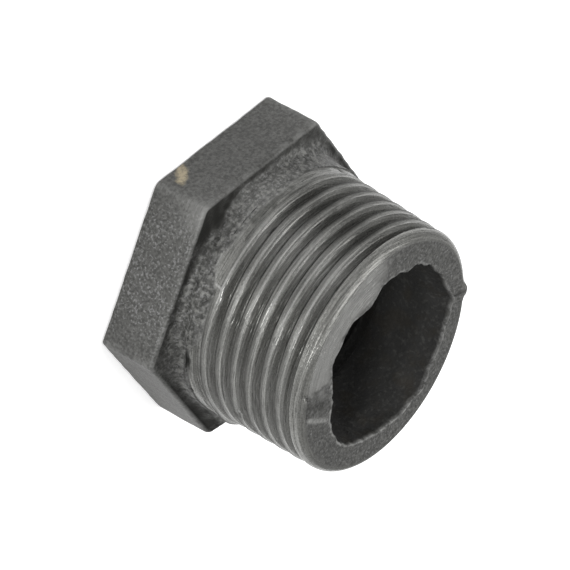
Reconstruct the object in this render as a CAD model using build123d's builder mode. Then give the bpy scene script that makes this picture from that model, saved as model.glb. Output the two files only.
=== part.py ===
from build123d import *
from math import atan, degrees, radians, sqrt, tan
import os

os.makedirs("parts", exist_ok=True)

# A 3/4 x 1/2 hex bushing in malleable iron, one casting, machined inside and out.
# It stands on the outer face of its head; +Z runs along the axis to the male end.

# driving sizes, millimetres
head_height = 6.2
total_length = 21.6
head_ledge = 1.19
corner_round = 0.5
collar_length = 2.0
collar_step = 0.13
end_round = 1.1

# male thread, 3/4 pipe, 14 threads to the inch, taper 1 in 16 on the diameter
threads_per_inch = 14
taper = 1 / 16
crest_radius_at_end = 12.55
thread_depth = 1.04
root_flat = 0.1
flank_angle = 30
washout_length = 1.8
groove_lead = 1.186

# female end, 1/2 pipe: tap drill, countersink and the cored way through
pilot_radius = 9.13
pilot_depth = 13.6
countersink_radius = 10.7
cored_radius = 8.9

# derived sizes
pitch = 25.4 / threads_per_inch
taper_angle = degrees(atan(taper / 2))
collar_top = head_height + collar_length
washout_top = collar_top + washout_length
crest_radius_at_head = crest_radius_at_end + (total_length - head_height) * taper / 2
crest_radius_at_collar = crest_radius_at_end + (total_length - collar_top) * taper / 2
crest_radius_at_washout = crest_radius_at_end + (total_length - washout_top) * taper / 2
collar_radius = crest_radius_at_collar + collar_step
flat_radius = collar_radius + head_ledge
corner_radius = 2 * flat_radius / sqrt(3)
front_edge_round = 0.35 * head_ledge
back_edge_round = 0.3 * head_ledge
shoulder_fillet = 0.5 * head_ledge

# hex head, its corners and edges rounded as the mould leaves them
with BuildPart() as hex_head:
    with BuildSketch(Plane.XY):
        RegularPolygon(radius=corner_radius, side_count=6)
    extrude(amount=head_height)
    fillet(hex_head.edges().filter_by(Axis.Z), corner_round)
    fillet(hex_head.faces().sort_by(Axis.Z)[-1].edges(), front_edge_round)
    fillet(hex_head.faces().sort_by(Axis.Z)[0].edges(), back_edge_round)

# the V groove between the threads: four helices on one taper, one for each corner
# of its section, joined by ruled faces and closed at both ends
groove_overshoot = 0.4
groove_start = head_height + groove_lead
groove_rise = total_length + pitch - groove_start
groove_start_radius = crest_radius_at_end + (total_length - groove_start) * taper / 2
root_half_width = root_flat / 2
mouth_half_width = root_half_width + (thread_depth + groove_overshoot) * tan(radians(flank_angle))
groove_corners = [
    (groove_overshoot, -mouth_half_width),
    (groove_overshoot, mouth_half_width),
    (-thread_depth, root_half_width),
    (-thread_depth, -root_half_width),
]
groove_helices = [
    Helix(
        pitch=pitch,
        height=groove_rise,
        radius=groove_start_radius + outward,
        center=(0, 0, groove_start + upward),
        cone_angle=-taper_angle,
    )
    for outward, upward in groove_corners
]
groove_pairs = list(zip(groove_helices, groove_helices[1:] + groove_helices[:1]))
groove_sides = [Face.make_surface_from_curves(first, second) for first, second in groove_pairs]
groove_ends = [
    Face(Wire([Line(first @ place, second @ place) for first, second in groove_pairs]))
    for place in (0, 1)
]
thread_groove = Solid(Shell(groove_sides + groove_ends))

# threaded shank: a tapered blank with a rounded end, cut by the helical groove
with BuildPart() as threaded_shank:
    with BuildSketch(Plane.XZ):
        with BuildLine():
            Polyline(
                (0, head_height),
                (crest_radius_at_head, head_height),
                (crest_radius_at_end, total_length),
                (0, total_length),
                close=True,
            )
        make_face()
    revolve(axis=Axis.Z)
    fillet(threaded_shank.faces().sort_by(Axis.Z)[-1].edges(), end_round)
    add(thread_groove, mode=Mode.SUBTRACT)

# unthreaded collar under the head, with the cone on which the groove washes out
washout_end_radius = crest_radius_at_washout - thread_depth - root_flat
with BuildPart() as collar:
    with BuildSketch(Plane.XZ):
        with BuildLine():
            Line((0, head_height), (collar_radius + shoulder_fillet, head_height))
            RadiusArc(
                (collar_radius + shoulder_fillet, head_height),
                (collar_radius, head_height + shoulder_fillet),
                shoulder_fillet,
            )
            Polyline(
                (collar_radius, head_height + shoulder_fillet),
                (collar_radius, collar_top),
                (washout_end_radius, washout_top),
                (0, washout_top),
                (0, head_height),
            )
        make_face()
    revolve(axis=Axis.Z)

# the female side: tap drill with its countersink, then the narrower cored way out
countersink_depth = countersink_radius - pilot_radius
core_step = pilot_radius - cored_radius
with BuildPart() as waterway:
    with BuildSketch(Plane.XZ):
        with BuildLine():
            Polyline(
                (0, 0),
                (countersink_radius, 0),
                (pilot_radius, countersink_depth),
                (pilot_radius, pilot_depth),
                (cored_radius, pilot_depth + core_step),
                (cored_radius, total_length),
                (0, total_length),
                close=True,
            )
        make_face()
    revolve(axis=Axis.Z)

# the whole casting in one piece
with BuildPart() as hex_bushing:
    add(threaded_shank.part)
    add(collar.part)
    add(hex_head.part)
    add(waterway.part, mode=Mode.SUBTRACT)

hex_bushing.part.label = "hex_bushing"
export_step(hex_bushing.part, "parts/hex_bushing.step")
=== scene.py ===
import math

import bpy
import numpy as np
from mathutils import Matrix, Vector


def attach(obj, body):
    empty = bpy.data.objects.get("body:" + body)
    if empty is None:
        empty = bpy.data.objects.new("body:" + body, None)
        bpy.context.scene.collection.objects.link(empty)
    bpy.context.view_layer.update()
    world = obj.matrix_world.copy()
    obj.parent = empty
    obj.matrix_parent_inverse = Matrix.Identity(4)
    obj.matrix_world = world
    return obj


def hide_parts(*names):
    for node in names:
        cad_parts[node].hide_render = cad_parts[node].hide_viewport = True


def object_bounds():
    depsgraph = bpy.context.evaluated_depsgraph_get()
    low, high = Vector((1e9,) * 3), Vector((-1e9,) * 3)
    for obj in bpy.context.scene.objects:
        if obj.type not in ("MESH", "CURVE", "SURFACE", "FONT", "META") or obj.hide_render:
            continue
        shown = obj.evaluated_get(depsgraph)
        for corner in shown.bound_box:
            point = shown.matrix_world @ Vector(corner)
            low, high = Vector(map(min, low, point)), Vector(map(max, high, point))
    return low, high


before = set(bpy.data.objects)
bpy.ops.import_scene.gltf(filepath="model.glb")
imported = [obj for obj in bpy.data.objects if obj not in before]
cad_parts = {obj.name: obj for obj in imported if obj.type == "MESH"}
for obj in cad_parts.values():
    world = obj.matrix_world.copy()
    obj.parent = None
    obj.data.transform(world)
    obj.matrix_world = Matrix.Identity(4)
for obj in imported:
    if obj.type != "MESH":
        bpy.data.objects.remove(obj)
cad_low, cad_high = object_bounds()

MM = 0.001
TURN = 2 * math.pi

# ---------------------------------------------------------------- sizes, mm
# The same values as in the CAD source, which this script doesn't read.
HEAD_HEIGHT = 6.2
TOTAL_LENGTH = 21.6
COLLAR_TOP = 8.2
WASHOUT_TOP = 10.0
PITCH = 25.4 / 14
SLOPE = 1 / 32
CREST_AT_END = 12.55
THREAD_DEPTH = 1.04
FLANK_RISE = math.tan(math.radians(60))
ROOT_HALF = 0.05
GROOVE_START = 7.386
COLLAR_RADIUS = CREST_AT_END + (TOTAL_LENGTH - COLLAR_TOP) * SLOPE + 0.13
LEDGE = 1.19
FLAT_RADIUS = COLLAR_RADIUS + LEDGE
FRONT_ROUND = 0.35 * LEDGE
BACK_ROUND = 0.3 * LEDGE
SHOULDER_FILLET = 0.5 * LEDGE
END_ROUND = 1.1
COUNTERSINK_RADIUS = 10.7
PILOT_RADIUS = 9.13
PILOT_DEPTH = 13.6
CORED_RADIUS = 8.9

# Visual only: the female thread, 1/2 pipe, how worn the corners are, and how far the
# male thread was cut out of line with the head.
FEMALE_MAJOR = 10.55
FEMALE_START = -1.1
WORN_FRONT = 0.05
CORNER_ROUNDS = {0: 0.5, 60: 1.9, 120: 0.8, 180: 0.6, 240: 0.6, 300: 1.0}
LEAN = 0.0493
LEAN_AZIMUTH = math.radians(21.6)
LEAN_X = LEAN * math.cos(LEAN_AZIMUTH)
LEAN_Y = LEAN * math.sin(LEAN_AZIMUTH)

# Azimuths in degrees: where the first groove starts, where the photo's thread is
# brightest, and the flat whose skin is coarsest.
THREAD_START = 322
BRIGHT_SIDE = 315
COARSE_FLAT = 330

OUTER_COLUMNS = 440
INNER_COLUMNS = OUTER_COLUMNS // 2

# How near a point has to be to a face to count as on it, and where the full thread ends.
TOUCH = 0.01
THREAD_TOP = 20.2


# ---------------------------------------------------------------- small maths
def smoothstep(low, high, value):
    t = np.clip((value - low) / (high - low), 0, 1)
    return t * t * (3 - 2 * t)


def window(value, rise_from, rise_to, fall_from, fall_to):
    """0, then 1 between two slopes, then 0 again."""
    return smoothstep(rise_from, rise_to, value) * (1 - smoothstep(fall_from, fall_to, value))


def hill(value, middle, wide):
    """1 where value is middle, falling off within about wide of it."""
    return np.exp(-(((value - middle) / wide) ** 2))


def soft_min(a, b, blend):
    """The smaller of a and b, rounded over about blend."""
    h = np.clip(0.5 + 0.5 * (b - a) / blend, 0, 1)
    return b * (1 - h) + a * h - blend * h * (1 - h)


def soft_max(a, b, blend):
    return -soft_min(-a, -b, blend)


def hashed(ix, iy, iz, seed):
    """A repeatable random number from -1 to 1 for each lattice point."""
    n = (ix * 374761393 + iy * 668265263 + iz * 2147483647 + seed * 1274126177) & 0xFFFFFFFF
    n = ((n ^ (n >> 13)) * 1274126177) & 0xFFFFFFFF
    n = (n ^ (n >> 16)) & 0xFFFFFF
    return n / 0x7FFFFF - 1.0


def lumps(points, size, seed):
    """Smooth value noise from -1 to 1 whose bumps are about size across."""
    p = np.asarray(points, float) / size
    base = np.floor(p).astype(np.int64)
    f = p - base
    f = f * f * (3 - 2 * f)
    total = np.zeros(len(p))
    for dx in (0, 1):
        for dy in (0, 1):
            for dz in (0, 1):
                corner = np.array([dx, dy, dz])
                weight = np.prod(np.where(corner, f, 1 - f), axis=1)
                total += weight * hashed(*(base + corner).T, seed)
    return total


def ring_noise(theta, cells, seed):
    """Noise round a circle: cells bumps to the turn, with no seam."""
    radius = cells / TURN
    ring = np.stack([np.cos(theta) * radius, np.sin(theta) * radius, np.full_like(theta, 0.5)], 1)
    return lumps(ring, 1.0, seed)


def angle_gap(theta, degrees):
    """Signed angle in degrees from the given azimuth, from -180 to 180."""
    return (np.degrees(theta) - degrees + 180) % 360 - 180


def around(theta, degrees, wide, power=2):
    """1 at the given azimuth, falling off within about wide degrees of it."""
    return np.exp(-((angle_gap(theta, degrees) / wide) ** power))


def spot(theta, z, degrees, height, wide, tall):
    """A soft round spot, 1 at its middle, on the wall at an azimuth and height."""
    return np.exp(-((angle_gap(theta, degrees) / wide) ** 2) - ((z - height) / tall) ** 2)


def stroke(u, v, start, end, width):
    """A soft straight stroke between two points of a plane, 1 along its middle."""
    (u0, v0), (u1, v1) = start, end
    long2 = (u1 - u0) ** 2 + (v1 - v0) ** 2
    t = np.clip(((u - u0) * (u1 - u0) + (v - v0) * (v1 - v0)) / long2, 0, 1)
    gap2 = (u - u0 - t * (u1 - u0)) ** 2 + (v - v0 - t * (v1 - v0)) ** 2
    return np.exp(-gap2 / width**2)


def polar(degrees, r):
    return (r * math.cos(math.radians(degrees)), r * math.sin(math.radians(degrees)))


# ---------------------------------------------------------------- the male thread
# The thread's rows are worked out upright, then leaned about the head's front face.
# stub_height turns a height over the floor into one along the leaning thread.
def stub_height(theta, r, z):
    return z + LEAN * r * np.cos(theta - LEAN_AZIMUTH)


def floor_height(theta, r, z):
    return z - LEAN * r * np.cos(theta - LEAN_AZIMUTH)


def crest_radius(z):
    return CREST_AT_END + (TOTAL_LENGTH - z) * SLOPE


def end_profile(theta, z):
    """The turned end: the taper, then a quarter round into the end face."""
    height = floor_height(theta, CREST_AT_END - 0.3, z)
    over = np.clip(height - TOTAL_LENGTH + END_ROUND, 0, END_ROUND)
    return crest_radius(z) - END_ROUND + np.sqrt(END_ROUND**2 - over**2)


# One lump where the neck runs out towards a corner, then small dents in the thread:
# azimuth in degrees, height, half width in degrees, half height, depth.
NICKS = (
    (50, 9.6, 14, 1.1, -0.7),
    (288, 10.6, 2.4, 0.3, 0.16),
    (287.5, 15, 1.6, 0.25, 0.12),
    (231, 9.1, 3, 0.3, 0.12),
    (331, 12.4, 1.5, 0.2, 0.1),
    (316, 16.1, 2.2, 0.25, 0.1),
    (300, 18, 1.3, 0.2, 0.12),
    (262, 13.7, 2, 0.25, 0.1),
    (20, 14, 2, 0.3, 0.12),
    (75, 12, 2.5, 0.3, 0.14),
    (110, 17.5, 2, 0.3, 0.14),
    (160, 13, 2.8, 0.3, 0.12),
    (205, 16.3, 2, 0.25, 0.12),
)


def from_groove(theta, z):
    """Signed height over the nearest turn of the male groove."""
    return (z - GROOVE_START - PITCH * theta / TURN + PITCH / 2) % PITCH - PITCH / 2


def past_start(theta):
    """Degrees turned since the azimuth where the thread starts."""
    return (np.degrees(theta) - THREAD_START) % 360


def first_crest(theta):
    """Height of the first crest, below which no groove was cut."""
    return COLLAR_TOP - 0.14 + PITCH * past_start(theta) / 360


def dents(theta, z):
    """Depth of the nicks, negative where metal stands proud."""
    return sum(nick[-1] * spot(theta, z, *nick[:-1]) for nick in NICKS)


def male_radius(theta, z):
    """Radius of the threaded shank, from the collar to the rounded end."""
    groove = from_groove(theta, z)
    crest = crest_radius(z)
    torn = smoothstep(0.1, 0.7, ring_noise(z + 3 * theta, 11, 12))
    tear = 0.05 * ring_noise(theta, 90, 11) * torn
    # the last groove fades out on the rounded end
    over_floor = floor_height(theta, CREST_AT_END, z)
    faded = smoothstep(TOTAL_LENGTH - 1.1, TOTAL_LENGTH - 0.7, over_floor)
    root = crest - THREAD_DEPTH * (1 - faded)
    from_root = np.where(groove < 0, WORN_FRONT - groove, groove)
    flank = root + np.maximum(from_root - ROOT_HALF, 0) * FLANK_RISE + tear
    # the die pushed up a thin lip along both edges of each crest, thickest near 312 degrees
    from_edge = from_root - (THREAD_DEPTH / FLANK_RISE + ROOT_HALF)
    lip = np.where(groove < 0, 0.045, 0.025) * hill(from_edge, 0.05, 0.07)
    lip = lip * (0.7 + 0.3 * ring_noise(theta + z, 60, 13))
    lip = lip * (0.4 + 0.6 * around(theta, 312, 32))
    rounded = 0.12 * np.clip(1 + (from_edge - 0.26) / -0.3, 0, 1) ** 2 * (groove < 0)
    thread = soft_min(flank, crest + lip - 0.035 - rounded, 0.05)
    thread = soft_max(thread, root, 0.06)
    # nothing is cut below the first crest, and the first groove deepens over 6 degrees
    over_first = z - first_crest(theta)
    growing = smoothstep(6, 0, past_start(theta)) * (over_first < PITCH)
    uncut = np.maximum(smoothstep(0.08, -0.08, over_first), growing)
    thread = thread + uncut * (np.maximum(thread, crest - 0.03) - thread)
    up_cone = (z - COLLAR_TOP) / (WASHOUT_TOP - COLLAR_TOP)
    washout = COLLAR_RADIUS - up_cone * (COLLAR_RADIUS - crest + THREAD_DEPTH + 0.1)
    return np.minimum(np.maximum(thread, washout), end_profile(theta, z)) - dents(theta, z)


# ---------------------------------------------------------------- the hex head
def hex_radius(phi, inset):
    """Radius of the rounded hexagon in direction phi, moved in by inset."""
    corner = np.round(np.degrees(phi) / 60)
    local = phi - np.radians(corner * 60)
    rounding = np.array([CORNER_ROUNDS[k * 60] for k in range(6)])[(corner % 6).astype(int)]
    apothem = FLAT_RADIUS - inset
    rounding = np.maximum(rounding - inset, 0.05)
    flat = apothem / np.cos(math.pi / 6 - np.abs(local))
    middle = (apothem - rounding) / math.cos(math.pi / 6)
    inside = np.maximum(rounding**2 - (middle * np.sin(local)) ** 2, 0)
    arc = middle * np.cos(local) + np.sqrt(inside)
    tangent_at = np.arctan2(
        rounding * math.sin(math.pi / 6),
        middle + rounding * math.cos(math.pi / 6),
    )
    return np.where(np.abs(local) < tangent_at, arc, flat)


def shoulder(theta):
    """Size of the concave fillet between head and neck, largest at the corners."""
    to_corner = 0.5 + 0.5 * np.cos(6 * theta)
    crisp = around(theta, 300, 25)
    filled_side = 0.6 * around(theta, 46, 20) + 0.7 * around(theta, 64, 13)
    at_corners = 1.1 * to_corner**1.5 * (1 - crisp)
    return SHOULDER_FILLET + at_corners - 0.15 * crisp + filled_side


def crowded(theta):
    """Azimuths for the head, closer together at its six corners."""
    return theta - 0.6 / 6 * np.sin(6 * theta)


# ---------------------------------------------------------------- rows of points
# A row is (azimuths, radii, heights, finish), all arrays; finish is 0 for the cast skin
# and 1 for a machined face. Helical rows climb one pitch in a turn, so that edges of
# the thread lie along the mesh.
outer = np.arange(OUTER_COLUMNS) * TURN / OUTER_COLUMNS
inner = np.arange(INNER_COLUMNS) * TURN / INNER_COLUMNS
# The steps are heights over the groove's middle, closest where a crest has its edges.
THREAD_STEPS = (0, 0.12, 0.32, 0.52, 0.6, 0.66, 0.74, 0.907, 1.07, 1.15, 1.21, 1.29, 1.5, 1.69)
FEMALE_STEPS = (0.0, 0.2, 0.5, 0.7, 0.82, 1.0, 1.12, 1.32, 1.6)
CAST, CUT = 0.0, 1.0


def full(theta, value):
    return np.full_like(theta, value)


def helical_rows(theta, steps, start, low, high, radius_of):
    """Rows that follow a thread, held between the heights low and high."""
    turns = math.ceil((np.max(high) - start) / PITCH)
    rows = []
    for turn in range(turns):
        for step in steps:
            z = np.clip(start + turn * PITCH + step + PITCH * theta / TURN, low, high)
            rows.append((theta, radius_of(theta, z), z, CUT))
    return rows


def head_rows():
    phi = crowded(outer)
    rows = [(outer, full(outer, COUNTERSINK_RADIUS), full(outer, 0.0), CUT)]
    for share in (0.1, 0.25, 0.42, 0.6, 0.8, 1.0):
        turn = outer + (phi - outer) * share
        across = hex_radius(phi, BACK_ROUND) - COUNTERSINK_RADIUS
        rows.append((turn, COUNTERSINK_RADIUS + across * share, full(outer, 0.0), CUT))
    for degrees in (22, 45, 68, 90):
        a = math.radians(degrees)
        inset = BACK_ROUND * (1 - math.sin(a))
        z = BACK_ROUND * (1 - math.cos(a))
        rows.append((phi, hex_radius(phi, inset), full(outer, z), CAST))
    flat_low, flat_high = BACK_ROUND, HEAD_HEIGHT - FRONT_ROUND
    for share in np.linspace(0, 1, 22)[1:-1]:
        z = full(outer, flat_low + (flat_high - flat_low) * share)
        rows.append((phi, hex_radius(phi, 0.0), z, CAST))
    for degrees in (0, 22, 45, 68, 90):
        a = math.radians(degrees)
        inset = FRONT_ROUND * (1 - math.cos(a))
        z = HEAD_HEIGHT - FRONT_ROUND * (1 - math.sin(a))
        rows.append((phi, hex_radius(phi, inset), full(outer, z), CAST))
    rim = hex_radius(phi, FRONT_ROUND)
    fillet = shoulder(outer)
    across = np.minimum(fillet, 0.93 * (hex_radius(outer, FRONT_ROUND) - COLLAR_RADIUS))
    foot = COLLAR_RADIUS + across
    for share in (0.2, 0.4, 0.6, 0.8, 1.0):
        turn = phi + (outer - phi) * share
        rows.append((turn, rim + (foot - rim) * share, full(outer, HEAD_HEIGHT), CAST))
    # at one corner the metal fills the hollow of the fillet
    filled = around(outer, 62, 24)
    for degrees in (15, 28, 40, 50, 60, 70, 80, 90):
        a = math.radians(degrees)
        climb = 1 - math.cos(a)
        inward = math.sin(a) * (1 - filled) + climb * filled
        rows.append((outer, foot - across * inward, HEAD_HEIGHT + fillet * climb, CAST))
    return rows


def collar_rows():
    start = HEAD_HEIGHT + shoulder(outer)
    heights = [start + (COLLAR_TOP - start) * share for share in np.linspace(0, 1, 8)[1:]]
    return [(outer, COLLAR_RADIUS - dents(outer, z), z, CAST) for z in heights]


# The ragged mouth of the cored hole, as (azimuth in degrees, radius).
MOUTH = (
    (5, 7.7), (15, 8.4), (29, 8.9), (46, 9.25), (60, 9.4), (71, 9.25), (90, 9.2), (112, 9.85),
    (124, 10.05), (138, 9.6), (151, 9.55), (164, 9.6), (178, 10.4), (189, 9.55), (207, 9.35),
    (225, 9.4), (241, 9.15), (247, 8.7), (259, 8.75), (271, 8.9), (275, 8.5), (279, 7.95),
    (287, 7.8), (295, 7.97), (303, 8.66), (313, 8.62), (323, 8.53), (332, 8.8), (341, 8.4),
    (350, 7.9), (357, 7.72),
)


def mouth_radius(theta):
    angles = [a for a, _ in MOUTH] + [360 + MOUTH[0][0]]
    radii = [r for _, r in MOUTH] + [MOUTH[0][1]]
    smooth = np.interp((np.degrees(theta) - MOUTH[0][0]) % 360 + MOUTH[0][0], angles, radii)
    return smooth + 0.26 * ring_noise(theta, 60, 21) + 0.2 * ring_noise(theta, 130, 22)


ROUND_TOP = TOTAL_LENGTH - 0.42


def end_radius(z):
    """Radius of the quarter round at a height over the floor."""
    over = z - TOTAL_LENGTH + END_ROUND
    return CREST_AT_END - END_ROUND + math.sqrt(max(END_ROUND**2 - over**2, 0))


def end_rows():
    """The last of the turned round, then the cast ring up to the ragged mouth."""
    rows = []
    start = math.asin((ROUND_TOP - TOTAL_LENGTH + END_ROUND) / END_ROUND)
    for share in (0.3, 0.6, 0.85, 1.0):
        z = TOTAL_LENGTH - END_ROUND + END_ROUND * math.sin(start + (math.pi / 2 - start) * share)
        r = full(outer, end_radius(z))
        rows.append((outer, r, stub_height(outer, r, z), CUT))
    edge = rows[-1][1]
    lip = mouth_radius(outer) + 0.1
    for share in (0.12, 0.26, 0.4, 0.54, 0.68, 0.8, 0.91, 1.0):
        r = edge + (lip - edge) * share
        finish = CUT if share < 0.2 else CAST
        rows.append((outer, r, stub_height(outer, r, TOTAL_LENGTH), finish))
    return rows


def female_radius(theta, z):
    groove = (z - FEMALE_START - PITCH * theta / TURN + PITCH / 2) % PITCH - PITCH / 2
    major = FEMALE_MAJOR - z * SLOPE
    vanish = smoothstep(11.0, 13.2, z)
    major = major - vanish * (major - PILOT_RADIUS + 0.1)
    flank = major - np.maximum(np.abs(groove) - ROOT_HALF, 0) * FLANK_RISE
    thread = soft_max(flank, full(theta, PILOT_RADIUS), 0.08)
    entry = COUNTERSINK_RADIUS - z
    return np.maximum(thread, entry)


def inner_rows():
    """From the countersink up to the ragged mouth, in rising order."""
    low, high = 0.35, 13.3
    rows = [(inner, full(inner, COUNTERSINK_RADIUS - 0.03), full(inner, 0.03), CUT)]
    rows.append((inner, female_radius(inner, full(inner, low)), full(inner, low), CUT))
    helix = helical_rows(inner, FEMALE_STEPS, FEMALE_START - PITCH, low, high, female_radius)
    rest = [(inner, full(inner, PILOT_RADIUS), full(inner, z), CUT) for z in (high, PILOT_DEPTH)]
    core_start = PILOT_DEPTH + PILOT_RADIUS - CORED_RADIUS
    rest.append((inner, full(inner, CORED_RADIUS), full(inner, core_start), CAST))
    mouth = mouth_radius(inner)
    for z in np.linspace(core_start, TOTAL_LENGTH - 0.1, 17)[1:]:
        near = smoothstep(TOTAL_LENGTH - 3.0, TOTAL_LENGTH - 0.1, z)
        wall = CORED_RADIUS + (mouth - CORED_RADIUS) * near
        rest.append((inner, wall, full(inner, z), CAST))
    return rows, helix, rest


# ---------------------------------------------------------------- the mesh
class Grid:
    """Collects rows of points and joins neighbours with faces."""

    def __init__(self):
        self.rows = []
        self.faces = []
        self.count = 0
        self.outer_count = 0

    def add_row(self, row):
        self.rows.append(row)
        first = self.count
        self.count += len(row[0])
        return np.arange(first, self.count)

    def add_rows(self, plain_before, helix, plain_after, steps):
        """Adds rows in order, and joins them. Returns the first and last row's indices."""
        before = [self.add_row(row) for row in plain_before]
        turns = []
        last = before[-1]
        last_z = plain_before[-1][2]
        for row in helix:
            index = self.add_row(row)
            held = np.abs(row[2] - last_z) < 1e-9
            index = np.where(held, last, index)
            turns.append(index)
            last, last_z = index, row[2]
        after = [self.add_row(row) for row in plain_after]
        high = plain_after[0][2]
        for k, row in enumerate(helix):
            turns[k] = np.where(np.abs(row[2] - high) < 1e-9, after[0], turns[k])
        rows = before + turns + after
        n_before, n_turns = len(before), len(turns)

        def across_seam(i):
            if n_before <= i < n_before + n_turns:
                i = min(i + steps, n_before + n_turns)
            return rows[i][0]

        for i in range(len(rows) - 1):
            here = np.append(rows[i], across_seam(i))
            there = np.append(rows[i + 1], across_seam(i + 1))
            for a, b, c, d in zip(here[:-1], here[1:], there[1:], there[:-1]):
                self.add_face((a, b, c, d))
        return rows[0], rows[-1]

    def add_face(self, corners):
        kept = [c for k, c in enumerate(corners) if c != corners[k - 1]]
        if len(set(kept)) == len(kept) >= 3:
            self.faces.append([int(c) for c in kept])

    def bridge(self, fine, coarse, flipped):
        """Joins a row to one with half as many points."""
        n = len(coarse)
        for m in range(n):
            a, b, c = fine[2 * m], fine[2 * m + 1], fine[(2 * m + 2) % (2 * n)]
            d, e = coarse[m], coarse[(m + 1) % n]
            for face in ((a, b, d), (b, c, e), (b, e, d)):
                self.add_face(face[::-1] if flipped else face)

    def reverse_from(self, first):
        for face in self.faces[first:]:
            face.reverse()

    def used_points(self):
        """The four values of each point in use, which side it is on, and the faces."""
        columns = [
            np.concatenate([np.broadcast_to(row[k], row[0].shape) for row in self.rows])
            for k in range(4)
        ]
        used = np.zeros(self.count, bool)
        for face in self.faces:
            used[face] = True
        renumber = np.cumsum(used) - 1
        faces = [[int(renumber[c]) for c in face] for face in self.faces]
        is_outer = (np.arange(self.count) < self.outer_count)[used]
        return [c[used] for c in columns], is_outer, faces


grid = Grid()
join_low = full(outer, COLLAR_TOP + 0.02)
join_high = stub_height(outer, CREST_AT_END - 0.3, full(outer, ROUND_TOP))
helix = helical_rows(outer, THREAD_STEPS, GROOVE_START - PITCH, join_low, join_high, male_radius)
before = head_rows() + collar_rows() + [(outer, male_radius(outer, join_low), join_low, CUT)]
after = [(outer, male_radius(outer, join_high), join_high, CUT)] + end_rows()
outer_first, outer_last = grid.add_rows(before, helix, after, len(THREAD_STEPS))
split = len(grid.faces)
grid.outer_count = grid.count
rows_in, helix_in, rest_in = inner_rows()
inner_first, inner_last = grid.add_rows(rows_in, helix_in, rest_in, len(FEMALE_STEPS))
grid.reverse_from(split)
grid.bridge(outer_first, inner_first, True)
grid.bridge(outer_last, inner_last, False)
(theta, radius, height, finish), is_outer, faces = grid.used_points()

# The thread, its collar and the bore's mouth follow the lean; the head stays square.
tilt = np.where(is_outer, smoothstep(HEAD_HEIGHT + 0.5, COLLAR_TOP, height), 0)
shift = np.where(is_outer, tilt, smoothstep(13.8, 18.5, height))
x, y = radius * np.cos(theta), radius * np.sin(theta)
upright = np.stack([x, y, height], 1)
points = np.stack(
    [
        x + shift * LEAN_X * (height - HEAD_HEIGHT),
        y + shift * LEAN_Y * (height - HEAD_HEIGHT),
        height - tilt * (LEAN_X * x + LEAN_Y * y),
    ],
    1,
)

mesh = bpy.data.meshes.new("hex_bushing_casting")
mesh.from_pydata((points * MM).tolist(), [], faces)
mesh.validate()
mesh.update()
body = bpy.data.objects.new("hex_bushing_casting", mesh)
bpy.context.collection.objects.link(body)
mesh.shade_smooth()

# ---------------------------------------------------------------- the cast skin
# Where the skin is rough, its points move in or out along the surface.
degrees_round = np.degrees(theta) % 360
along_stub = floor_height(theta, radius, height)
on_head = is_outer & (height <= HEAD_HEIGHT + TOUCH) & (finish < CUT)
on_side = on_head & (height < HEAD_HEIGHT - TOUCH)
on_neck = is_outer & (height > HEAD_HEIGHT + TOUCH) & (height < WASHOUT_TOP) & (radius > 11)
on_shank = is_outer & (height > HEAD_HEIGHT + 0.3) & (height < 20)
on_ring = is_outer & (along_stub > TOTAL_LENGTH - 0.05)
on_end = is_outer & (along_stub > TOTAL_LENGTH - 1.0)
in_core = ~is_outer & (height > PILOT_DEPTH + 0.1)
coarse_flat = around(theta, COARSE_FLAT, 26, 4)

# the rough skin of the neck ends at an uneven edge, higher on two stretches
neck_edge = 8.3 + 1.1 * window(degrees_round, 311, 325, 346, 358)
neck_edge = neck_edge + 0.45 * window(degrees_round, 256, 268, 303, 311)
neck_edge = neck_edge + 0.25 * ring_noise(theta, 24, 41)
neck_cast = on_neck * (1 - smoothstep(neck_edge - 0.12, neck_edge + 0.12, height))

coarse = lumps(upright, 1.7, 31)
middle = lumps(upright, 0.75, 32)
fine = lumps(upright, 0.38, 33)
front_edge = on_head * smoothstep(HEAD_HEIGHT - 1.1, HEAD_HEIGHT - 0.2, height)
head_fine = 0.008 + 0.012 * coarse_flat
depth = on_head * (0.035 * coarse + 0.018 * middle + head_fine * fine - 0.025)
depth += front_edge * (0.06 * middle + 0.03 * fine) * (0.4 + 0.8 * coarse_flat)
depth += neck_cast * (0.07 * coarse + 0.08 * middle + 0.05 * fine)
ring_rough = on_ring * smoothstep(0, 0.8, 12.2 - radius)
depth += on_ring * -0.05 + ring_rough * (0.03 * coarse + 0.04 * middle + 0.02 * fine - 0.04)
depth += in_core * (0.12 * coarse + 0.08 * middle)

# marks: burr where the thread starts, slot and pit in the neck, nub and scar of the flash
arc = np.radians(angle_gap(theta, 320)) * COLLAR_RADIUS
burr = on_shank * np.maximum.reduce(
    [
        stroke(arc, height, (0.27, 9.28), (0.5, 10.17), 0.1),
        0.8 * stroke(arc, height, (0.0, 10.13), (0.5, 10.17), 0.08),
        0.6 * stroke(arc, height, (0.5, 10.17), (1.94, 10.41), 0.06),
    ]
)
slot = on_shank * spot(theta, height, 2, 8.3, 5, 0.22)
pit = on_shank * spot(theta, height, 231.4, 8.6, 1.3, 0.3)
nub = is_outer * around(theta, 179, 3.2) * smoothstep(20.3, 21.1, height)
nub = nub * smoothstep(11.2, 11.9, radius)
scar = on_end * stroke(x, y, polar(2.5, 11.25), polar(14.4, 8.9), 0.16)
scar_pit = on_end * np.maximum(
    stroke(x, y, polar(352.5, 11.25), polar(1.5, 11.35), 0.22),
    stroke(x, y, polar(347, 11.8), polar(350, 11.4), 0.12),
)
hollow = on_end * stroke(x, y, polar(356, 10.7), polar(359, 9.2), 0.7)
depth += 0.12 * burr - 0.3 * slot - 0.25 * pit
depth += 0.75 * nub + 0.16 * scar - 0.45 * scar_pit - 0.08 * hollow

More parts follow.
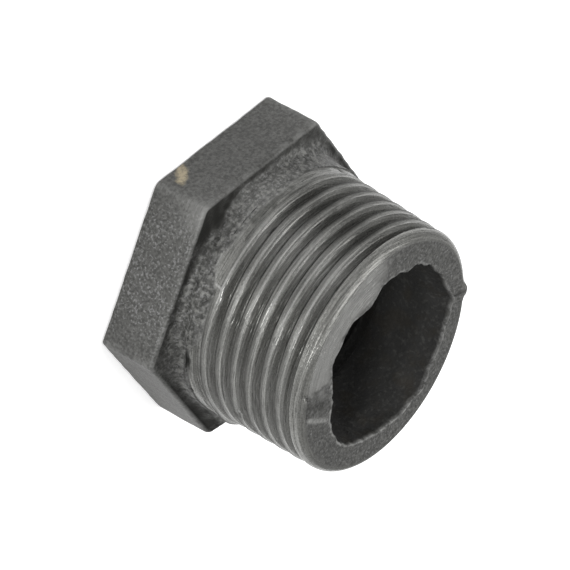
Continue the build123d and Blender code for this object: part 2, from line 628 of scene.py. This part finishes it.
# every point stays inside the solid's box
directions = np.empty(3 * len(points), np.float32)
mesh.vertex_normals.foreach_get("vector", directions)
points = points + directions.reshape(-1, 3) * depth[:, None]
box_low, box_high = np.array(cad_low) / MM, np.array(cad_high) / MM
points = np.clip(points, box_low, box_high)
mesh.vertices.foreach_set("co", (points * MM).astype(np.float32).ravel())
mesh.update()

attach(body, "root")
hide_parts("hex_bushing")


def keep(name, values):
    """Stores one number for each point, for the material to read."""
    layer = mesh.attributes.new(name, "FLOAT", "POINT")
    layer.data.foreach_set("value", np.asarray(values, np.float32))


# bare metal: the smooth part of the ring, and what was machined
ragged_turn = degrees_round + 9 * middle + 5 * fine
smooth_ring = on_ring * window(ragged_turn, 262, 285, 338, 352)
from_mouth = radius - mouth_radius(theta)
smooth_ring = smooth_ring * smoothstep(0.1, 1.0, from_mouth - 0.5 * middle)
near_end = smoothstep(TOTAL_LENGTH - 0.7, TOTAL_LENGTH - 0.1, height)
torn_lip = near_end * (from_mouth < 0.15)
bare = np.where(on_ring, smooth_ring, finish) * (1 - neck_cast) + burr + scar
ring_skin = ring_rough * (1 - smooth_ring)

# the ledge at the foot of the neck, darkened with painted shade and some grime: where it is paler,
# and how far up it reaches
paler = 0.6 * around(theta, 1, 13) + 0.4 * around(theta, 238, 20)
paler = paler + 0.25 * around(theta, 26, 11)
ledge_top = HEAD_HEIGHT + 0.42 + 0.35 * coarse + 0.2 * middle
ledge_top = ledge_top + 0.12 * around(theta, 304, 15) + 1.1 * around(theta, 52, 22)
ledge = is_outer * smoothstep(HEAD_HEIGHT - 0.1, HEAD_HEIGHT, height)
ledge = ledge * (0.9 + 0.25 * middle - paler)
ledge = ledge * (1 - smoothstep(ledge_top - 0.6, ledge_top, height))

# where a point is on the thread: how deep in the groove, and how far past the crest
dug = is_outer * (height > COLLAR_TOP) * (crest_radius(height) - radius) / THREAD_DEPTH
dug = dug * (along_stub < TOTAL_LENGTH - 1.0)
past_crest = from_groove(theta, height) % PITCH - PITCH / 2
plain_foot = COLLAR_TOP + 0.5 + 0.5 * (np.abs(angle_gap(theta, 32)) < 40)
above_start = (height > first_crest(theta)) & (height > plain_foot)
threaded = is_outer & above_start & (height < THREAD_TOP)
plain_band = is_outer & (height > neck_edge)
plain_band = plain_band & (height < np.minimum(first_crest(theta), 10.4))

# Light and shade of the photo that the lamps alone don't give, by azimuth: lit makes a
# point lighter and dim makes it darker. They stay with the part when it is turned.
facing = around(theta, BRIGHT_SIDE, 24)
front_line = hill(past_crest, 0.2, 0.09)
back_line = hill(past_crest, -0.22, 0.06)
mid_flank = smoothstep(0.25, 0.6, dug) * (past_crest > 0.2)
lower_flank = 0.8 * around(theta, 295, 13) + 0.4 * around(theta, 3, 24)
lit = threaded * (
    front_line * (0.06 + 0.59 * facing) + 0.3 * back_line * facing**2 + mid_flank * lower_flank
)
lit = lit + threaded * 0.13 * smoothstep(330, 350, degrees_round)
lit = lit + threaded * 0.13 * (degrees_round < 60)
lit = lit + threaded * 0.18 * around(theta, 290, 11)

band_edge = on_neck * hill(height, neck_edge + 0.1, 0.09)
band_edge = band_edge * window(degrees_round, 290, 305, 322, 330)
lit = lit + 0.4 * band_edge + 0.15 * neck_cast * around(theta, 284, 18) * (1 - ledge)

# rim, corners and one patch of the head made lighter: partly wear, partly painted highlight
rim_gap = np.maximum((HEAD_HEIGHT - 0.15 - height) / 0.3, 0)
rim_wear_and_highlight = on_side * hill(rim_gap, 0, 1) * (0.5 + 0.5 * middle)
corner_gap = np.abs((degrees_round + 30) % 60 - 30) * 0.285
corner_wear_and_highlight = on_side * hill(corner_gap, 0, 0.45) * (0.55 + 0.45 * coarse)
patch_wear_and_highlight = on_side * spot(theta, height, 303, 5.6, 6, 1.6)
lit = lit + 0.25 * (rim_wear_and_highlight + corner_wear_and_highlight + patch_wear_and_highlight)
# painted highlights on the burr, the scar, the torn lip of the mouth and the smooth part of the
# ring; none in the scar's pit
lit = lit + 0.9 * (burr + scar) + 0.6 * torn_lip * smoothstep(-0.3, 0.5, fine)
lit = (lit + 0.55 * smooth_ring) * (1 - scar_pit)

crest_back = window(past_crest, -0.36, -0.26, -0.1, 0.1)
low_back = window(past_crest, -0.7, -0.55, -0.3, -0.2)
dim = threaded * crest_back * (0.75 - 0.4 * facing) + 0.15 * ring_skin + ledge
dim = dim + threaded * (0.12 + 0.26 * around(theta, 266, 8)) * smoothstep(290, 276, degrees_round)
dim = dim + threaded * 0.5 * low_back * around(theta, 2, 28)
dim = dim + threaded * 0.3 * facing * hill(past_crest, 0.02, 0.1)
dim = dim + 0.7 * on_end * stroke(x, y, polar(178, 12.3), polar(182, 9.6), 0.14)
dim = dim + 0.45 * hollow + 0.12 * ring_rough * around(theta, 35, 30)
dim = dim + 0.17 * on_side * around(theta, 272, 27, 6)
mottled = np.clip(middle, 0, 1) * (degrees_round > 262) * (degrees_round < 302)
band_shade = 0.12 + 0.2 * smoothstep(300, 285, degrees_round) + 0.5 * mottled
dim = dim + plain_band * band_shade
dim = np.maximum.reduce([dim, slot, pit, scar_pit])

# skin like the neck's, on the ledge where it is paler and on the rough ring
face = is_outer * (height > HEAD_HEIGHT - TOUCH) * (radius > COLLAR_RADIUS) * paler
neck_like = np.maximum.reduce([neck_cast, face, 0.45 * ring_skin])
sparkle = on_head * coarse_flat + 0.8 * neck_cast + torn_lip + 0.9 * ring_rough
# painted shade in the bore: none near the head's face, full from 11 mm up to the mouth, less on the
# torn lip
bore_dark = ~is_outer * smoothstep(5.5, 11, height) * (1 - 0.8 * torn_lip)

# one tan flake on the flat towards -Y: an ellipse turned by 37 degrees
flake_x, flake_z = x - 5.75, height - 1.2
flake_long = (flake_x * 0.8 + flake_z * 0.6) / 1.5
flake_short = (flake_z * 0.8 - flake_x * 0.6) / 0.6
flake_edge = flake_long**2 + flake_short**2 + 0.5 * fine + 0.3 * middle
flake = (on_head & (y < -13.5)) * (1 - smoothstep(0.6, 1.3, flake_edge))

keep("bare", np.clip(bare, 0, 1))
keep("neck", np.clip(neck_like * (1 - 0.8 * ledge), 0, 1))
keep("lit", np.clip(lit, 0, 1))
keep("dim", np.clip(dim, 0, 1))
keep("bore_shade", np.clip(bore_dark, 0, 1))
keep("dug", np.clip(dug, 0, 1))
keep("along", height + on_ring * (12.5 - radius))
keep("sparkle", np.clip(sparkle, 0, 1))
keep("flake", flake)

# ---------------------------------------------------------------- material
iron = bpy.data.materials.new("cast_iron")
iron.use_nodes = True
tree = iron.node_tree
shader = tree.nodes["Principled BSDF"]


def node(kind, **settings):
    made = tree.nodes.new(kind)
    for key, value in settings.items():
        setattr(made, key, value)
    return made


def feed(value, socket):
    """Links an output to a socket, or sets the socket to a plain value."""
    if isinstance(value, bpy.types.NodeSocket):
        tree.links.new(value, socket)
    else:
        socket.default_value = value


def maths(operation, first, second):
    made = node("ShaderNodeMath", operation=operation)
    feed(first, made.inputs[0])
    feed(second, made.inputs[1])
    return made.outputs[0]


def mixed(share, first, second):
    """A colour, first where share is 0 and second where it is 1."""
    made = node("ShaderNodeMix", data_type="RGBA")
    feed(share, made.inputs["Factor"])
    feed(first, made.inputs["A"])
    feed(second, made.inputs["B"])
    return made.outputs["Result"]


def spread(value, low, high, to_low, to_high):
    """Maps low to to_low and high to to_high, smoothly, and holds beyond them."""
    made = node("ShaderNodeMapRange", interpolation_type="SMOOTHSTEP")
    feed(low, made.inputs["From Min"])
    feed(high, made.inputs["From Max"])
    feed(to_low, made.inputs["To Min"])
    feed(to_high, made.inputs["To Max"])
    feed(value, made.inputs["Value"])
    return made.outputs["Result"]


def noise(where, size, detail=2.0):
    """Noise from 0 to 1 whose blotches are about size millimetres across."""
    made = node("ShaderNodeTexNoise")
    feed(1 / (size * MM), made.inputs["Scale"])
    feed(detail, made.inputs["Detail"])
    feed(where, made.inputs["Vector"])
    return made.outputs["Fac"]


def grey(value, warm=0.0):
    """A grey, a little yellower where warm is above 0."""
    return (value * (1 + warm), value * (1 + warm), value * (1 - 2 * warm), 1)


def stored(name):
    """What keep() stored under this name."""
    return node("ShaderNodeAttribute", attribute_name=name).outputs["Fac"]


place = node("ShaderNodeTexCoord").outputs["Object"]
is_bare, in_bore_shade, dug_in, up_thread = map(stored, ("bare", "bore_shade", "dug", "along"))
sparkles, is_flake, is_lit, is_dim = map(stored, ("sparkle", "flake", "lit", "dim"))
is_neck = stored("neck")


def drawn_out(share):
    """Coordinates in which noise runs along the thread, share as fine that way."""
    apart = node("ShaderNodeSeparateXYZ")
    feed(place, apart.inputs[0])
    joined = node("ShaderNodeCombineXYZ")
    feed(maths("MULTIPLY", apart.outputs[0], share), joined.inputs[0])
    feed(maths("MULTIPLY", apart.outputs[1], share), joined.inputs[1])
    feed(maths("MULTIPLY", up_thread, MM), joined.inputs[2])
    return joined.outputs[0]


striation = noise(drawn_out(0.016), 0.1, 3.0)
torn = noise(drawn_out(0.06), 0.13, 3.0)
blotch = noise(place, 1.6, 3.0)
grain = noise(place, 0.3, 3.0)
speck = noise(place, 0.25, 1.5)
crumb = noise(place, 0.42, 3.0)
grit = noise(place, 0.16, 2.0)

# black skin with sparkles, and crumbs where it is like the neck's
skin = mixed(spread(grain, 0.35, 0.65, 0, 1), grey(0.028, 0.03), grey(0.073, 0.02))
bright = maths("MULTIPLY", spread(speck, 0.5, 0.72, 0, 1), spread(sparkles, 0, 1, 0.15, 0.7))
skin = mixed(bright, skin, grey(0.2))
skin = mixed(maths("MULTIPLY", is_neck, spread(crumb, 0.48, 0.68, 0, 0.7)), skin, grey(0.18, 0.02))
skin = mixed(maths("MULTIPLY", is_neck, spread(crumb, 0.47, 0.34, 0, 0.6)), skin, grey(0.016, 0.04))
skin = mixed(spread(blotch, 0.38, 0.75, 0, 0.35), skin, grey(0.042, 0.03))

# bare metal, drawn out along the thread, torn and gritty
metal = mixed(spread(striation, 0.3, 0.7, 0, 1), grey(0.098, 0.02), grey(0.185, 0.02))
metal = mixed(spread(torn, 0.56, 0.75, 0, 0.6), metal, grey(0.035, 0.03))
metal = mixed(spread(grit, 0.5, 0.7, 0, 0.5), metal, grey(0.05, 0.04))
metal = mixed(spread(grit, 0.5, 0.3, 0, 0.3), metal, grey(0.26, 0.02))

colour = mixed(is_bare, skin, metal)
colour = mixed(is_dim, colour, grey(0.018, 0.03))
shining = maths("MULTIPLY", is_lit, spread(striation, 0.3, 0.6, 0.5, 1))
colour = mixed(shining, colour, grey(0.33, 0.01))
# the thread's roots darker: partly grime, partly painted shade in the grooves
in_root = maths("MULTIPLY", spread(dug_in, 0.78, 0.98, 0, 0.9), spread(torn, 0.3, 0.5, 0.75, 1))
colour = mixed(in_root, colour, grey(0.02, 0.03))
tan = mixed(spread(grain, 0.35, 0.65, 0, 1), (0.15, 0.13, 0.09, 1), (0.27, 0.23, 0.155, 1))
colour = mixed(is_flake, colour, tan)

# the bore: painted shade, with crumbs and a little rust
bore_shade_colour = mixed(spread(up_thread, 11, 20, 0, 1), grey(0.03, 0.01), grey(0.028, 0.01))
bore_shade_colour = mixed(spread(crumb, 0.5, 0.72, 0, 0.45), bore_shade_colour, grey(0.07, 0.02))
rusty_bore_shade = mixed(spread(blotch, 0.45, 0.7, 0, 0.6), bore_shade_colour, (0.03, 0.027, 0.022, 1))
colour = mixed(in_bore_shade, colour, rusty_bore_shade)
feed(colour, shader.inputs["Base Color"])

feed(spread(is_bare, 0, 1, 0.25, 0.6), shader.inputs["Metallic"])
rough = maths("ADD", spread(is_bare, 0, 1, 0.46, 0.2), maths("MULTIPLY", torn, 0.16))
dull = maths("MAXIMUM", maths("MAXIMUM", in_bore_shade, is_dim), in_root)
rough = maths("MAXIMUM", rough, maths("MULTIPLY", dull, 0.8))
feed(rough, shader.inputs["Roughness"])
feed(spread(dull, 0, 1, 0.5, 0.12), shader.inputs["Specular IOR Level"])

relief = maths("ADD", maths("MULTIPLY", grain, 0.7), maths("MULTIPLY", speck, 0.4))
relief = maths("MULTIPLY", relief, spread(is_bare, 0, 1, 1, 0.2))
relief = maths("ADD", relief, maths("MULTIPLY", striation, spread(is_bare, 0, 1, 0, 0.35)))
relief = maths("SUBTRACT", relief, maths("MULTIPLY", spread(torn, 0.54, 0.72, 0, 0.3), is_bare))
bump = node("ShaderNodeBump")
feed(0.8, bump.inputs["Strength"])
feed(0.14 * MM, bump.inputs["Distance"])
feed(relief, bump.inputs["Height"])
feed(bump.outputs["Normal"], shader.inputs["Normal"])
mesh.materials.append(iron)

# ---------------------------------------------------------------- floor
FLOOR_HALF = 2.0
corners = [(a * FLOOR_HALF, b * FLOOR_HALF, 0) for a, b in ((-1, -1), (1, -1), (1, 1), (-1, 1))]
floor_mesh = bpy.data.meshes.new("floor")
floor_mesh.from_pydata(corners, [], [(0, 1, 2, 3)])
floor = bpy.data.objects.new("floor", floor_mesh)
bpy.context.collection.objects.link(floor)
pale = bpy.data.materials.new("pale_floor")
pale.use_nodes = True
pale_shader = pale.node_tree.nodes["Principled BSDF"]
pale_shader.inputs["Base Color"].default_value = (0.95, 0.95, 0.95, 1)
pale_shader.inputs["Roughness"].default_value = 0.9
pale_shader.inputs["Emission Color"].default_value = (1, 1, 1, 1)
pale_shader.inputs["Emission Strength"].default_value = 0.35
floor_mesh.materials.append(pale)

# ---------------------------------------------------------------- camera
# From the fit to the photo's corners, edges and crests: lengths in metres, but the lens
# and the sensor in millimetres.
AIM = Vector((-2.791, 2.298, 6.555)) * MM
CAMERA_AZIMUTH = math.radians(-48.676)
CAMERA_ELEVATION = math.radians(28.563)
CAMERA_ROLL = math.radians(118.264)
CAMERA_DISTANCE = 0.572578
CAMERA_LENS = 378.947
CAMERA_SENSOR = 36
back = Vector(
    (
        math.cos(CAMERA_ELEVATION) * math.cos(CAMERA_AZIMUTH),
        math.cos(CAMERA_ELEVATION) * math.sin(CAMERA_AZIMUTH),
        math.sin(CAMERA_ELEVATION),
    )
)
level = Vector((0, 0, 1)).cross(back).normalized()
raised = back.cross(level)
right = level * math.cos(CAMERA_ROLL) + raised * math.sin(CAMERA_ROLL)
up = back.cross(right)
camera_data = bpy.data.cameras.new("camera")
camera_data.lens = CAMERA_LENS
camera_data.sensor_width = CAMERA_SENSOR
camera = bpy.data.objects.new("camera", camera_data)
bpy.context.collection.objects.link(camera)
axes = Matrix((right, up, back)).transposed().to_4x4()
camera.matrix_world = Matrix.Translation(AIM + back * CAMERA_DISTANCE) @ axes
bpy.context.scene.camera = camera

# ---------------------------------------------------------------- light
scene = bpy.context.scene
scene.view_settings.view_transform = "Standard"
world = bpy.data.worlds.new("studio")
world.use_nodes = True
world.node_tree.nodes["Background"].inputs["Color"].default_value = (1, 1, 1, 1)
world.node_tree.nodes["Background"].inputs["Strength"].default_value = 0.55
scene.world = world


def soft_light(name, azimuth, elevation, distance, size, watts):
    """A square area light aimed at the part, from an azimuth and elevation in degrees."""
    data = bpy.data.lights.new(name, "AREA")
    data.size = size
    data.energy = watts
    light = bpy.data.objects.new(name, data)
    bpy.context.collection.objects.link(light)
    a, e = math.radians(azimuth), math.radians(elevation)
    out = Vector((math.cos(e) * math.cos(a), math.cos(e) * math.sin(a), math.sin(e)))
    light.location = out * distance + Vector((0, 0, TOTAL_LENGTH / 2 * MM))
    light.rotation_euler = out.to_track_quat("Z", "Y").to_euler()


soft_light("key", azimuth=336, elevation=22, distance=0.5, size=0.08, watts=1.25)
soft_light("top", azimuth=203, elevation=70, distance=0.7, size=0.6, watts=4.0)
